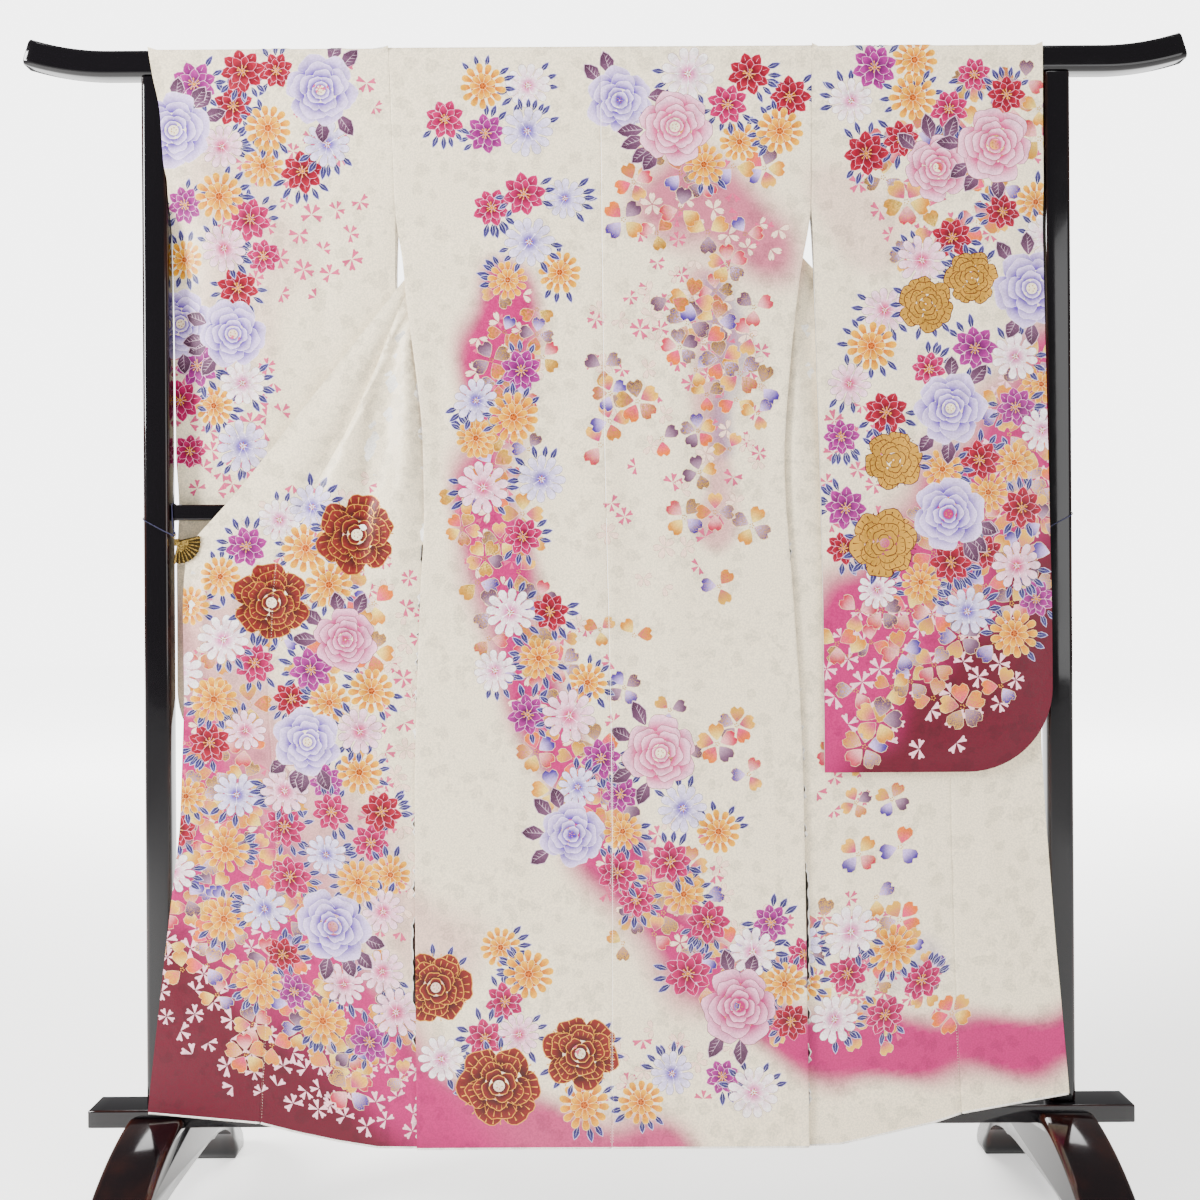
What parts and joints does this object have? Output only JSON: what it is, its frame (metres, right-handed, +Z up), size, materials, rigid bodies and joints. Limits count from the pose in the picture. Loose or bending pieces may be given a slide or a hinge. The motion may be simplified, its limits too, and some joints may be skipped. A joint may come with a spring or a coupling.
{
  "type": "furisode kimono on kimono stand",
  "caption": "Long-sleeved formal silk kimono with a flower print, spread back to front over a black lacquered wooden stand and held open by two small brass clips.",
  "frame": {"origin": "on the floor, midway between the stand's two feet and midway between their toes", "axes": "+Z up, +Y from the kimono's printed back toward the far side of the stand, X along the top rail"},
  "size_m": [1.7578, 0.6, 1.7991],
  "materials": {
    "lacquer": "black lacquer, polished to a high gloss",
    "silk": "figured white silk satin printed with flowers, soft sheen",
    "brass": "pale gilt brass, polished",
    "cord": "navy blue braided cord, matt"
  },
  "bodies": {
    "root": {"rail_top": "lacquer", "post_left": "lacquer", "post_right": "lacquer", "foot_left": "lacquer", "foot_right": "lacquer", "rail_middle": "lacquer", "beam": "lacquer", "back_left": "silk", "back_right": "silk", "front_left": "silk", "front_right": "silk", "shoulder_left": "silk", "shoulder_right": "silk", "okumi_left": "silk", "okumi_right": "silk", "sleeve_left": "silk", "sleeve_right": "silk", "collar": "silk", "clip_left": "brass", "clip_right": "brass", "cord_left": "cord", "cord_right": "cord"}
  },
  "joints": []
}
